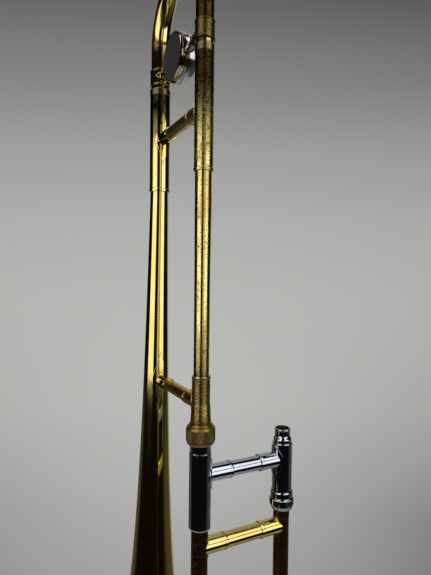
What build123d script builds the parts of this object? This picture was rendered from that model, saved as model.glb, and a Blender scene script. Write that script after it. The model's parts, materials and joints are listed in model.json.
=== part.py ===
from build123d import *
import math
import os

# Straight small-bore tenor trombone, stored upright with the bell mouth down.
# Origin: centre of the bell rim plane, on the bell axis. +Z runs up the bell stem.
# The bell section lies in the YZ plane, and the hand slide stands almost square to it.

# ---- driving dimensions, mm ----
sheet = 0.5                     # wall of bell, bow and gooseneck
leg_spacing = 102.0             # bell axis to gooseneck axis
slide_spacing = 83.4            # between the two legs of the hand slide
slide_swing = -1.7              # turn of the hand slide from square to the bell plane, degrees

rim_radius = 88.9               # 7 inch bell, outside the rolled rim
rim_bead = 1.8                  # radius of the rolled rim
rim_wire = 1.25
flare_length = 32.0             # bell outline: flare_base * (1 + z / flare_length) ** -flare_power
flare_power = 0.746
flare_base = 88.0
stem_taper = 0.0015
bell_top = 572.0
stem_shift = (4.4, -3.4)        # the bell leans: its stem stands this far from the rim's centre
joint_height = 565.0            # where the stem meets the axis of the tuning receiver
stem_slack = 0.12               # room for the leaning stem in its receiver
stem_seam = 200.0               # the flare and the stem are brazed together at this height
seam_reach = 800.0              # size of the block that trims the flare there

leg_bottom = 555.7              # tuning receivers: outer legs of the tuning slide
leg_top = 659.6
ferrule_bottom = 662.7
ferrule_top = 678.8
bow_start = 702.0
upper_brace_height = 608.2
lower_brace_height = 362.0
tuning_brace_height = 671.0

socket_top = 385.8              # receiver of the hand slide, under the gooseneck
socket_bottom = 340.0
nut_top = 346.0
nut_bottom = 329.0
barrel_top = 322.3
barrel_bottom = 257.6
mouth_height = 330.0            # mouthpiece end
side_barrel_top = 317.5
side_barrel_bottom = 272.9
lock_bottom = 256.6
slide_top = 281.8               # top ends of the outer slide tubes inside the cork barrels
inner_brace_height = 301.8
outer_brace_height = 240.0
inner_bottom = -372.0
stocking_length = 85.0
crook_height = -386.0           # centre of the end crook

inner_bore = 6.35               # 0.500 inch bore
inner_tube = 6.65
stocking = 6.8
outer_bore = 6.87
outer_tube = 7.2

bell_leg = 10.3                 # outside radii of the two tuning receivers
neck_leg = 8.1
bell_bow = 9.5                  # the bow tapers between its two legs
neck_bow = 7.87
gap = 0.02                      # between soldered pieces
running = 0.06                  # radial clearance of sliding tubes

os.makedirs("parts", exist_ok=True)

swing = math.radians(slide_swing)
bell_axis = (stem_shift[0], stem_shift[1])                  # the tuning slide's leg above the bell
neck_axis = (stem_shift[0], stem_shift[1] - leg_spacing)
bell_lean = Vector(stem_shift[0], stem_shift[1], joint_height)      # the bell's own axis, up from its rim
lean = Plane(origin=(0, 0, 0), x_dir=(joint_height, 0, -stem_shift[0]), z_dir=bell_lean).location
across = Vector(math.cos(swing), math.sin(swing), 0)        # from the lower leg to the mouthpiece leg
front = Vector(math.sin(swing), -math.cos(swing), 0)        # out of the hand slide's plane
mouth_axis = (neck_axis[0] + slide_spacing * across.X, neck_axis[1] + slide_spacing * across.Y)
crook_radius = slide_spacing / 2
crook_centre = Vector(neck_axis[0], neck_axis[1], crook_height) + across * crook_radius


def save(piece, label, place=None):
    part = piece.part if place is None else place * piece.part
    part.label = label
    export_step(part, f"parts/{label}.step")


def above(axis, height):
    """The point of a vertical axis at a height."""
    return Vector(axis[0], axis[1], height)


def turned(axis, outline):
    """A piece turned about a vertical axis from (radius, height) corners."""
    with BuildPart() as piece:
        with BuildSketch(Plane(origin=above(axis, 0), x_dir=(1, 0, 0), z_dir=(0, -1, 0))):
            with BuildLine():
                Polyline(*outline, close=True)
            make_face()
        revolve(axis=Axis(above(axis, 0), (0, 0, 1)))
    return piece


def tube(axis, bottom, top, outside, inside):
    """A plain vertical tube."""
    return turned(axis, [(inside, bottom), (outside, bottom), (outside, top), (inside, top)])


def flare_radius(z):
    return flare_base * (1 + z / flare_length) ** -flare_power - stem_taper * z


def flare_slope(z):
    power = flare_power + 1
    return -flare_base * flare_power / flare_length * (1 + z / flare_length) ** -power - stem_taper


def flare_line(offset):
    """Points of the bell's outline, moved out of its surface by an offset."""
    heights = [0.6, 2.5, 5, 9, 15, 24, 37, 56, 84, 125, 185, 270, 380, 480, bell_top]
    points = []
    for z in heights:
        slope = flare_slope(z)
        length = math.hypot(1, slope)
        points.append((flare_radius(z) + offset / length, z - offset * slope / length))
    return points


def flare_solid(offset):
    """The bell as a full solid, to trim the saddles that sit on it."""
    points = flare_line(offset)
    with BuildPart() as piece:
        with BuildSketch(Plane(origin=(0, 0, 0), x_dir=(1, 0, 0), z_dir=(0, -1, 0))):
            with BuildLine():
                Spline(*points)
                Polyline(points[-1], (0, points[-1][1]), (0, points[0][1]), points[0])
            make_face()
        revolve(axis=Axis.Z)
    return piece.part


def saddle(start, direction, reach, radius, outline, seat, skin, bead=0.0):
    """A brace end: a socket tube on a thin flange that hugs a leg.

    start is on the leg's axis, seat is the leg's full solid and skin the flange's outer solid.
    """
    plane = Plane(origin=start, x_dir=(0, 0, 1), z_dir=direction)
    with BuildPart() as piece:
        with BuildSketch(plane):
            if outline[0] == "diamond":
                with BuildLine():
                    Polyline((outline[2], 0), (0, outline[1]), (-outline[2], 0), (0, -outline[1]), close=True)
                make_face()
            else:
                Ellipse(outline[2], outline[1])
        extrude(amount=30)
        add(skin, mode=Mode.INTERSECT)
        with BuildSketch(plane):
            Circle(radius)
        extrude(amount=reach)
        if bead > 0:
            with BuildSketch(plane.offset(reach - 2.2)):
                Circle(radius + bead)
            extrude(amount=1.2)
        add(seat, mode=Mode.SUBTRACT)
        with BuildSketch(plane.offset(reach - 5)):
            Circle(radius - 0.8)
        extrude(amount=10, mode=Mode.SUBTRACT)
    return piece


def rod(start, direction, near, far, outside, inside):
    """A brace tube along a direction, between two distances from start."""
    with BuildPart() as piece:
        with BuildSketch(Plane(origin=start, z_dir=direction).offset(near)):
            Circle(outside)
            Circle(inside, mode=Mode.SUBTRACT)
        extrude(amount=far - near)
    return piece


def stepped_rod(start, direction, near, far, outside, socket):
    """A brace tube whose ends step down into its two sockets."""
    plane = Plane(origin=start, z_dir=direction)
    with BuildPart() as piece:
        with BuildSketch(plane.offset(near - 4.5)):
            Circle(socket - 0.85)
            Circle(socket - 2.2, mode=Mode.SUBTRACT)
        extrude(amount=far - near + 9)
        with BuildSketch(plane.offset(near + 0.1)):
            Circle(outside)
            Circle(socket - 2.2, mode=Mode.SUBTRACT)
        extrude(amount=far - near - 0.2)
    return piece


def post(axis, bottom, top, radius):
    """A full vertical cylinder, used to trim saddles."""
    return Pos(axis[0], axis[1], (bottom + top) / 2) * Cylinder(radius, top - bottom)


# ---- bell ----
outer_line = flare_line(0)
inner_line = flare_line(-sheet)
with BuildPart() as bell:
    with BuildSketch(Plane(origin=(0, 0, 0), x_dir=(1, 0, 0), z_dir=(0, -1, 0))):
        with BuildLine():
            Spline(*outer_line)
            Line(outer_line[-1], inner_line[-1])
            Spline(*inner_line)
            Line(inner_line[0], outer_line[0])
        make_face()
        with Locations((rim_radius - rim_bead, rim_bead)):
            Circle(rim_bead)
            Circle(rim_wire + gap, mode=Mode.SUBTRACT)
    revolve(axis=Axis.Z)
below_seam = Pos(0, 0, stem_seam - seam_reach / 2) * Box(seam_reach, seam_reach, seam_reach)
with BuildPart() as bell_flare:
    add(bell.part)
    add(below_seam, mode=Mode.INTERSECT)
save(bell_flare, "bell", lean)
stem_heights = [stem_seam + gap, 212, 225, 240, 257, 276, 297, 320, 345, 372, 402, 436, 474, 520, bell_top]
stem_outside = [(flare_radius(z), z) for z in stem_heights]
stem_inside = [(flare_radius(z) - sheet * math.hypot(1, flare_slope(z)), z) for z in reversed(stem_heights)]
save(turned((0, 0), stem_outside + stem_inside), "bell_stem", lean)

with BuildPart() as bell_rim_wire:
    with BuildSketch(Plane(origin=(0, 0, 0), x_dir=(1, 0, 0), z_dir=(0, -1, 0))):
        with Locations((rim_radius - rim_bead, rim_bead)):
            Circle(rim_wire)
    revolve(axis=Axis.Z)
save(bell_rim_wire, "bell_rim_wire", lean)


# ---- tuning receivers: the outer legs, each with a band at its mouth ----
def receiver_leg(axis, outside, fitted):
    """The outer leg of the tuning slide, with a beaded lower end."""
    bore = outside - sheet
    return turned(axis, [
        (fitted, leg_bottom), (outside + 0.4, leg_bottom), (outside + 0.4, leg_bottom + 2.6),
        (outside, leg_bottom + 3.2), (outside, leg_top - 0.8), (bore, leg_top - 0.8),
        (bore, bell_top + 3), (fitted, bell_top + 3)])


def receiver_band(axis, outside):
    bore = outside - sheet
    bottom = leg_top - 6.5
    return turned(axis, [
        (outside + gap, bottom), (outside + 0.25, bottom), (outside + 0.3, leg_top - 0.6),
        (outside, leg_top), (bore + gap, leg_top), (bore + gap, leg_top - 0.75), (outside + gap, leg_top - 0.75)])


stem_radius = flare_radius(leg_bottom)
neck_top_radius = 7.15
save(receiver_leg(bell_axis, bell_leg, stem_radius + stem_slack), "bell_tuning_receiver")
save(receiver_band(bell_axis, bell_leg), "bell_receiver_band")
save(receiver_leg(neck_axis, neck_leg, neck_top_radius + gap), "neck_tuning_receiver")
save(receiver_band(neck_axis, neck_leg), "neck_receiver_band")

# ---- gooseneck, and the receiver that the hand slide plugs into ----
neck_outline = [
    (6.65, socket_top - 13), (6.65, 424), (6.70, 449), (6.75, 466), (6.80, 483), (6.96, 499),
    (7.09, 516), (neck_top_radius, 532), (neck_top_radius, bell_top)]
neck_wall = [(radius - sheet, height) for radius, height in reversed(neck_outline)]
save(turned(neck_axis, neck_outline + neck_wall), "gooseneck")

tenon_top = 371.0
taper_top = 7.0
taper_bottom = 7.82
flange_radius = 10.3
slide_receiver = turned(neck_axis, [
    (6.65 + gap, socket_top), (7.95, socket_top), (8.05, socket_top - 0.8), (7.95, socket_top - 1.6),
    (7.75, socket_top - 2.0), (7.75, 365), (8.2, 357), (8.7, 350), (8.8, 347), (8.8, socket_bottom + 3),
    (flange_radius, socket_bottom + 2.8), (flange_radius, socket_bottom + 0.2), (taper_bottom + 0.03, socket_bottom),
    (taper_top + 0.03, tenon_top + 0.3), (6.65 + gap, tenon_top + 0.4)])
save(slide_receiver, "slide_receiver")

lock_nut = turned(neck_axis, [
    (8.95, nut_top), (9.8, nut_top), (10.0, nut_top - 0.6), (9.8, nut_top - 1.2), (9.9, nut_top - 1.7),
    (11.2, nut_top - 2.1), (12.1, nut_top - 3.4), (12.36, nut_top - 4.8), (12.36, nut_bottom + 3.2),
    (11.9, nut_bottom + 1.6), (10.8, nut_bottom), (10.5, nut_bottom),
    (10.5, socket_bottom + 3.1), (8.95, socket_bottom + 3.1)])
save(lock_nut, "lock_nut")

# ---- braces of the bell section ----
brace_tube = 5.6
brace_socket = 6.1
toward_neck = Vector(0, -1, 0)
toward_bell = Vector(0, 1, 0)
flange_skin = 0.7

upper_bell_end = saddle(
    above(bell_axis, upper_brace_height), toward_neck, 30, brace_socket, ("diamond", 8.8, 26),
    post(bell_axis, 560, 655, bell_leg + gap), post(bell_axis, 560, 655, bell_leg + flange_skin), 0.5)
save(upper_bell_end, "upper_brace_bell_end")
upper_neck_end = saddle(
    above(neck_axis, upper_brace_height), toward_bell, 26, brace_socket, ("oval", 7.2, 13),
    post(neck_axis, 560, 655, neck_leg + gap), post(neck_axis, 560, 655, neck_leg + flange_skin), 0.5)
save(upper_neck_end, "upper_brace_neck_end")
save(stepped_rod(above(neck_axis, upper_brace_height), toward_bell, 26, leg_spacing - 30,
                 brace_tube, brace_socket), "upper_bell_brace")

lower_foot = Vector(neck_axis[0], stem_shift[1] * lower_brace_height / joint_height, lower_brace_height)
lower_bell_end = saddle(
    lower_foot, toward_neck, 32, brace_socket, ("diamond", 10.2, 30),
    lean * flare_solid(gap), lean * flare_solid(flange_skin), 0.5)
save(lower_bell_end, "lower_brace_bell_end")
lower_neck_end = saddle(
    above(neck_axis, lower_brace_height), toward_bell, 27, brace_socket, ("oval", 7.6, 12),
    slide_receiver.part + post(neck_axis, 341, 383, 7.75 + gap), post(neck_axis, 341, 383, 9.5), 0.5)
save(lower_neck_end, "lower_brace_neck_end")
lower_span = lower_foot.Y - neck_axis[1]
save(stepped_rod(above(neck_axis, lower_brace_height), toward_bell, 27, lower_span - 32,
                 brace_tube, brace_socket), "lower_bell_brace")

# ---- tuning slide: two inner legs, ferrules, the bow and its brace with a counterweight ----
bell_inner_leg = bell_leg - sheet - running
neck_inner_leg = neck_leg - sheet - running
leg_end = bell_top + 8
save(tube(bell_axis, leg_end, 670.5, bell_inner_leg, bell_inner_leg - sheet), "bell_tuning_leg")
save(tube(neck_axis, leg_end, 670.5, neck_inner_leg, neck_inner_leg - sheet), "neck_tuning_leg")


def ferrule(axis, leg, bow, outside):
    """A sleeve that joins a leg to the bow, with a bead at each end."""
    return turned(axis, [
        (leg + gap, ferrule_bottom), (outside, ferrule_bottom), (outside + 0.35, ferrule_bottom + 0.8),
        (outside, ferrule_bottom + 1.6), (outside, ferrule_top - 1.6), (outside + 0.35, ferrule_top - 0.8),
        (outside, ferrule_top), (bow + gap, ferrule_top), (bow + gap, 670.6), (leg + gap, 670.6)])


save(ferrule(bell_axis, bell_inner_leg, bell_bow, 10.4), "bell_ferrule")
save(ferrule(neck_axis, neck_inner_leg, neck_bow, 8.45), "neck_ferrule")

bow_radius = leg_spacing / 2
bow_centre = Vector(bell_axis[0], bell_axis[1] - bow_radius, bow_start)
bow_stations = 12


def bow_solid(inset):
    """The tapered half ring of the bow, filled, with its walls moved in by an inset."""
    with BuildPart() as piece:
        for station in range(bow_stations + 1):
            share = station / bow_stations
            angle = math.pi * share
            outward = Vector(0, math.cos(angle), math.sin(angle))
            along = Vector(0, -math.sin(angle), math.cos(angle))
            section = Plane(origin=bow_centre + outward * bow_radius, x_dir=(1, 0, 0), z_dir=along)
            with BuildSketch(section):
                Circle(bell_bow + (neck_bow - bell_bow) * share - inset)
        loft()
    return piece.part


outer_bow = bow_solid(0)
inner_bow = bow_solid(sheet)
with BuildPart() as tuning_bow:
    add(outer_bow)
    add(inner_bow, mode=Mode.SUBTRACT)
    for axis, radius in ((bell_axis, bell_bow), (neck_axis, neck_bow)):
        with BuildSketch(Plane(origin=above(axis, 670.8), z_dir=(0, 0, 1))):
            Circle(radius)
            Circle(radius - sheet, mode=Mode.SUBTRACT)
        extrude(amount=bow_start - 670.8)
save(tuning_bow, "tuning_bow")

tuning_socket = 5.0
tuning_bell_end = saddle(
    above(bell_axis, tuning_brace_height), toward_neck, 19, tuning_socket, ("diamond", 8.5, 7.4),
    post(bell_axis, 663, 678.5, 10.75 + gap), post(bell_axis, 663, 678.5, 11.4), 0.4)
save(tuning_bell_end, "tuning_brace_bell_end")
tuning_neck_end = saddle(
    above(neck_axis, tuning_brace_height), toward_bell, 17.5, tuning_socket, ("diamond", 7.6, 7.4),
    post(neck_axis, 663, 678.5, 8.8 + gap), post(neck_axis, 663, 678.5, 9.45), 0.4)
save(tuning_neck_end, "tuning_brace_neck_end")
tuning_rod_radius = 4.15
tuning_brace = rod(above(neck_axis, tuning_brace_height), toward_bell, 13, leg_spacing - 14.5,
                   tuning_rod_radius, 3.0)
save(tuning_brace, "tuning_brace")

weight_centre = Vector(bell_axis[0], bell_axis[1] - 50.3, tuning_brace_height)
weight_radius = 22.0
weight_face = 20.2


def weight_half(side):
    """One half of the clamped counterweight, with a groove for the brace tube."""
    with BuildPart() as piece:
        with BuildSketch(Plane(origin=weight_centre, x_dir=(0, 1, 0), z_dir=(side, 0, 0)).offset(0.05)):
            Circle(weight_radius)
        extrude(amount=8.5)
        edge = piece.edges().sort_by(Axis.X)[0 if side < 0 else -1]
        chamfer(edge, weight_radius - weight_face)
        with BuildSketch(Plane(origin=weight_centre, x_dir=(1, 0, 0), z_dir=(0, 1, 0)).offset(-30)):
            Circle(tuning_rod_radius + gap)
        extrude(amount=60, mode=Mode.SUBTRACT)
        for height in (-12, 12):
            with BuildSketch(Plane(origin=weight_centre + Vector(0, 0, height), x_dir=(0, 1, 0),
                                   z_dir=(side, 0, 0))):
                Circle(1.6 + gap)
            extrude(amount=6, mode=Mode.SUBTRACT)
    return piece


save(weight_half(-1), "counterweight_front")
save(weight_half(1), "counterweight_back")
with BuildPart() as counterweight_screws:
    for height in (-12, 12):
        with BuildSketch(Plane(origin=weight_centre + Vector(-5.5, 0, height), x_dir=(0, 1, 0), z_dir=(1, 0, 0))):
            Circle(1.6)
        extrude(amount=11)
save(counterweight_screws, "counterweight_screws")

# ---- hand slide, inner half: tenon, cork barrels, inner tubes, mouthpiece receiver, brace ----
slide_tenon = turned(neck_axis, [
    (6.2, tenon_top), (taper_top, tenon_top), (taper_bottom, socket_bottom + 0.1), (taper_bottom, 339.0),
    (10.2, 338.6), (10.2, nut_bottom + 2.4), (9.08, nut_bottom + 1.6), (9.08, barrel_top),
    (8.65, barrel_top - 0.1), (8.65, 300.2), (inner_tube + gap, 300.2), (inner_tube + gap, 330.0),
    (6.2, 331.0)])
save(slide_tenon, "slide_tenon")

lower_cork_barrel = turned(neck_axis, [
    (8.65 + gap, barrel_bottom), (9.2, barrel_bottom), (9.4, barrel_bottom + 0.4), (9.45, barrel_bottom + 5),
    (9.35, barrel_top - 0.8), (9.1, barrel_top - 0.15), (8.65 + gap, barrel_top - 0.15)])
save(lower_cork_barrel, "lower_cork_barrel")

receiver_body = 7.6
mouthpiece_receiver = turned(mouth_axis, [
    (6.2, mouth_height), (7.0, mouth_height), (7.4, mouth_height - 0.6), (7.2, mouth_height - 1.4),
    (7.15, mouth_height - 6.0), (7.6, mouth_height - 7.6), (8.3, side_barrel_top + 3.2),
    (8.3, side_barrel_top + 0.1), (receiver_body, side_barrel_top), (receiver_body, 292.0),
    (inner_tube + gap, 292.0), (inner_tube + gap, 300.0), (5.45, 300.0)])
save(mouthpiece_receiver, "mouthpiece_receiver")

upper_cork_barrel = turned(mouth_axis, [
    (receiver_body + gap, side_barrel_top), (9.0, side_barrel_top), (9.3, side_barrel_top - 0.5),
    (9.2, side_barrel_bottom + 1), (9.2, side_barrel_bottom), (8.75, side_barrel_bottom), (8.75, 265.0),
    (8.45, 265.0), (8.45, 306.0), (receiver_body + gap, 306.0)])
save(upper_cork_barrel, "upper_cork_barrel")

save(tube(neck_axis, 282.1, 300.0, 8.4, 6.9), "lower_slide_cork")
save(tube(mouth_axis, 282.1, 291.8, 8.4, 6.9), "upper_slide_cork")
save(tube(neck_axis, inner_bottom, 329.9, inner_tube, inner_bore), "lower_inner_tube")
save(tube(mouth_axis, inner_bottom, 299.8, inner_tube, inner_bore), "upper_inner_tube")
stocking_top = inner_bottom + stocking_length
save(tube(neck_axis, inner_bottom, stocking_top, stocking, inner_tube + 0.01), "lower_stocking")
save(tube(mouth_axis, inner_bottom, stocking_top, stocking, inner_tube + 0.01), "upper_stocking")

leadpipe = turned(mouth_axis, [
    (5.45, 299.7), (6.3, 299.7), (6.3, 85.0), (6.1, 85.0), (5.15, 268.0)])
save(leadpipe, "leadpipe")

slide_socket = 7.1
inner_brace_tube = 6.4
lower_slide_end = saddle(
    above(neck_axis, inner_brace_height), across, 29, slide_socket, ("oval", 9.0, 13.4),
    post(neck_axis, 260, 320, 9.45), post(neck_axis, 260, 320, 10.1), 0.35)
save(lower_slide_end, "inner_brace_lower_end")
upper_slide_end = saddle(
    above(mouth_axis, inner_brace_height), -across, 26, slide_socket, ("oval", 9.0, 13.4),
    post(mouth_axis, 275, 316, 9.32), post(mouth_axis, 275, 316, 10.0), 0.35)
save(upper_slide_end, "inner_brace_upper_end")


save(stepped_rod(above(neck_axis, inner_brace_height), across, 29, slide_spacing - 26,
                 inner_brace_tube, slide_socket), "inner_brace")

# ---- slide lock ring: turns on the mouthpiece-side barrel and catches the lug of the outer slide ----
lug_plane = Plane(origin=above(mouth_axis, 260.3), x_dir=front, z_dir=(0, 0, 1))
lock_shape = turned(mouth_axis, [
    (8.82, side_barrel_bottom - 0.1), (10.2, side_barrel_bottom - 0.1), (10.4, side_barrel_bottom - 1.0),
    (10.4, 267.2), (10.0, 266.6), (10.9, 265.8), (11.1, 265.2), (11.1, 260.2), (10.6, 258.6),
    (10.2, lock_bottom), (7.65, lock_bottom), (7.65, 259.6), (8.82, 259.6)])
with BuildPart() as slide_lock_ring:
    add(lock_shape.part)
    with BuildSketch(lug_plane.offset(-5)):
        with Locations((8.0, 0)):
            Rectangle(2.4, 4.4)
    extrude(amount=4.9, mode=Mode.SUBTRACT)
save(slide_lock_ring, "slide_lock_ring")

# ---- hand slide, outer half: two tubes, sleeves, brace, end crook, bumper and water key ----
tube_bottom = crook_height + 0.05
save(tube(neck_axis, tube_bottom, slide_top, outer_tube, outer_bore), "lower_outer_tube")
save(tube(mouth_axis, tube_bottom, slide_top, outer_tube, outer_bore), "upper_outer_tube")
save(tube(neck_axis, 262.0, slide_top - 0.2, 7.55, outer_tube + gap), "lower_top_sleeve")
upper_sleeve = turned(mouth_axis, [
    (outer_tube + gap, 248.3), (7.4, 248.3), (7.5, 249.0), (7.5, slide_top - 0.2), (outer_tube + gap, slide_top - 0.2)])
with BuildPart() as upper_top_sleeve:
    add(upper_sleeve.part)
    with BuildSketch(lug_plane):
        with Locations((7.85, 0)):
            Rectangle(1.2, 2.4)
    extrude(amount=2.2)
save(upper_top_sleeve, "upper_top_sleeve")

outer_brace_tube = 6.6
lower_outer_end = saddle(
    above(neck_axis, outer_brace_height), across, 24.5, slide_socket, ("oval", 6.9, 10.0),
    post(neck_axis, 220, 260, outer_tube + gap), post(neck_axis, 220, 260, outer_tube + 0.6), 0.3)
save(lower_outer_end, "outer_brace_lower_end")
upper_outer_end = saddle(
    above(mouth_axis, outer_brace_height), -across, 24.5, slide_socket, ("oval", 6.9, 9.6),
    post(mouth_axis, 220, 260, outer_tube + gap) + post(mouth_axis, 248.2, 260, 7.5 + gap),
    post(mouth_axis, 220, 260, outer_tube + 0.6), 0.3)
save(upper_outer_end, "outer_brace_upper_end")
save(stepped_rod(above(neck_axis, outer_brace_height), across, 24.5, slide_spacing - 24.5,
                 outer_brace_tube, slide_socket), "outer_brace")


def crook_plane(angle):
    """The section plane of the crook at an angle from its lowest point, towards the lower leg."""
    turn = math.radians(angle)
    outward = Vector(0, 0, -math.cos(turn)) - across * math.sin(turn)
    along = across * math.cos(turn) - Vector(0, 0, 1) * math.sin(turn)
    return Plane(origin=crook_centre + outward * crook_radius, x_dir=front, z_dir=along)


crook_axis = Axis(crook_centre, front)
key_plane = crook_plane(38)
key_outward = -key_plane.y_dir if key_plane.y_dir.Z > 0 else key_plane.y_dir
key_along = key_plane.z_dir
key_centre = key_plane.origin


with BuildPart() as end_crook:
    with BuildSketch(Plane(origin=above(neck_axis, crook_height), z_dir=(0, 0, 1))):
        Circle(outer_tube)
        Circle(outer_bore, mode=Mode.SUBTRACT)
    revolve(axis=crook_axis, revolution_arc=180)
    with BuildSketch(Plane(origin=key_centre, x_dir=front, z_dir=key_outward).offset(5)):
        RegularPolygon(1.8, 8)
    extrude(amount=5, mode=Mode.SUBTRACT)
save(end_crook, "end_crook")

with BuildPart() as crook_form:
    with BuildSketch(Plane(origin=above(neck_axis, crook_height), z_dir=(0, 0, 1))):
        Circle(outer_tube + gap)
    revolve(axis=crook_axis, revolution_arc=180)

for axis, label in ((neck_axis, "lower_crook_ferrule"), (mouth_axis, "upper_crook_ferrule")):
    save(turned(axis, [
        (outer_tube + gap, crook_height), (7.9, crook_height), (8.15, crook_height + 0.9),
        (7.9, crook_height + 1.8), (7.9, crook_height + 18.2), (8.15, crook_height + 19.1),
        (7.9, crook_height + 20.0), (outer_tube + gap, crook_height + 20.0)]), label)

bumper_axis = (crook_centre.X, crook_centre.Y)
crook_low = crook_height - crook_radius - outer_tube
with BuildPart() as bumper_cup:
    add(turned(bumper_axis, [
        (0, crook_low + 2.5), (6.4, crook_low + 2.5), (6.4, crook_low - 2.6), (5.0, crook_low - 2.6),
        (5.0, crook_low - 1.0), (0, crook_low - 1.0)]).part)
    add(crook_form.part, mode=Mode.SUBTRACT)
save(bumper_cup, "bumper_cup")
save(turned(bumper_axis, [
    (0, crook_low - 1.05), (4.95, crook_low - 1.05), (4.95, crook_low - 4.6), (4.3, crook_low - 5.8),
    (3.0, crook_low - 6.5), (0, crook_low - 6.8)]), "rubber_tip")

# The water key: its pivot runs along the crook, in front of the tube, so the lever rocks across it.
pivot_reach = 11.0
pivot_radius = 1.0
pivot_centre = key_centre + front * pivot_reach


def key_point(forward, outward, along=0.0):
    """A point in the key's section of the crook: out in front, away from the crook's centre, along it."""
    return key_centre + front * forward + key_outward * outward + key_along * along


with BuildPart() as water_key_nipple:
    with BuildSketch(Plane(origin=key_centre, z_dir=key_outward).offset(5.5)):
        Circle(3.1)
    extrude(amount=3.8)
    add(crook_form.part, mode=Mode.SUBTRACT)
    with BuildSketch(Plane(origin=key_centre, z_dir=key_outward)):
        Circle(1.7)
    extrude(amount=12, mode=Mode.SUBTRACT)
save(water_key_nipple, "water_key_nipple")

with BuildPart() as water_key_saddle:
    with BuildSketch(Plane(origin=key_point(5.0, 0), x_dir=key_along, z_dir=front)):
        RectangleRounded(11.0, 6.4, 1.5)
    extrude(amount=3.4)
    for offset in (-4.2, 4.2):
        with BuildSketch(Plane(origin=key_point(0, 0, offset - 0.7), x_dir=front, z_dir=key_along)):
            with Locations((9.3, 0)):
                Rectangle(3.4, 5.0)
            with Locations((pivot_reach, 0)):
                Circle(2.5)
        extrude(amount=1.4)
    with BuildSketch(Plane(origin=pivot_centre, z_dir=key_along).offset(-6)):
        Circle(pivot_radius + 0.04)
    extrude(amount=12, mode=Mode.SUBTRACT)
    add(crook_form.part, mode=Mode.SUBTRACT)
save(water_key_saddle, "water_key_saddle")

with BuildPart() as water_key_screw:
    with BuildSketch(Plane(origin=pivot_centre, z_dir=key_along).offset(-5.2)):
        Circle(pivot_radius)
    extrude(amount=10.2)
    with BuildSketch(Plane(origin=pivot_centre, z_dir=key_along).offset(5.0)):
        Circle(1.9)
    extrude(amount=1.2)
    with BuildSketch(Plane(origin=pivot_centre, x_dir=front, z_dir=key_along).offset(5.7)):
        Rectangle(5.0, 0.5)
    extrude(amount=1.0, mode=Mode.SUBTRACT)
save(water_key_screw, "water_key_screw")

lever_line = [
    (8.2, -24.0), (9.8, -19.0), (11.6, -9.0), (11.6, -2.0), (11.6, 2.0), (11.8, 8.5), (8.0, 12.9), (0.0, 12.9)]
with BuildPart() as water_key_lever:
    lever_plane = Plane(origin=key_centre, x_dir=front, z_dir=front.cross(key_outward))
    with BuildSketch(lever_plane.offset(-1.6)):
        with BuildLine():
            path = Polyline(*lever_line)
        trace(path, line_width=1.5)
    extrude(amount=3.2)
    with BuildSketch(Plane(origin=key_point(8.6, -23.5), x_dir=key_along, z_dir=front)):
        Ellipse(5.2, 4.0)
    extrude(amount=1.4, both=True)
    with BuildSketch(Plane(origin=pivot_centre, z_dir=key_along).offset(-1.9)):
        Circle(1.9)
    extrude(amount=3.8)
    with BuildSketch(Plane(origin=key_centre, z_dir=key_outward).offset(10.6)):
        Circle(4.4)
    extrude(amount=3.0)
    with BuildSketch(Plane(origin=key_centre, z_dir=key_outward).offset(10.0)):
        Circle(3.7)
    extrude(amount=2.1, mode=Mode.SUBTRACT)
    with BuildSketch(Plane(origin=pivot_centre, z_dir=key_along).offset(-6)):
        Circle(pivot_radius + 0.04)
    extrude(amount=12, mode=Mode.SUBTRACT)
save(water_key_lever, "water_key_lever")

spring_wire = 0.3
with BuildPart() as water_key_spring:
    for offset in (-3.05, -2.4, 2.4, 3.05):
        with BuildSketch(Plane(origin=pivot_centre + key_along * offset, x_dir=front, z_dir=key_outward)):
            with Locations((1.75, 0)):
                Circle(spring_wire)
        revolve(axis=Axis(pivot_centre, key_along))
    for offset, first, last in ((-2.4, (11.0, 1.75), (7.2, 4.6)), (2.4, (11.0, -1.75), (12.6, -7.0))):
        start = key_point(*first, offset)
        leg = key_point(*last, offset) - start
        with BuildSketch(Plane(origin=start, z_dir=leg.normalized())):
            Circle(spring_wire)
        extrude(amount=leg.length)
save(water_key_spring, "water_key_spring")

with BuildPart() as water_key_cork:
    with BuildSketch(Plane(origin=key_centre, z_dir=key_outward).offset(9.35)):
        Circle(3.65)
    extrude(amount=2.7)
save(water_key_cork, "water_key_cork")
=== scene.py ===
import bpy
import bmesh
import json
import math
from mathutils import Matrix, Vector


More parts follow.
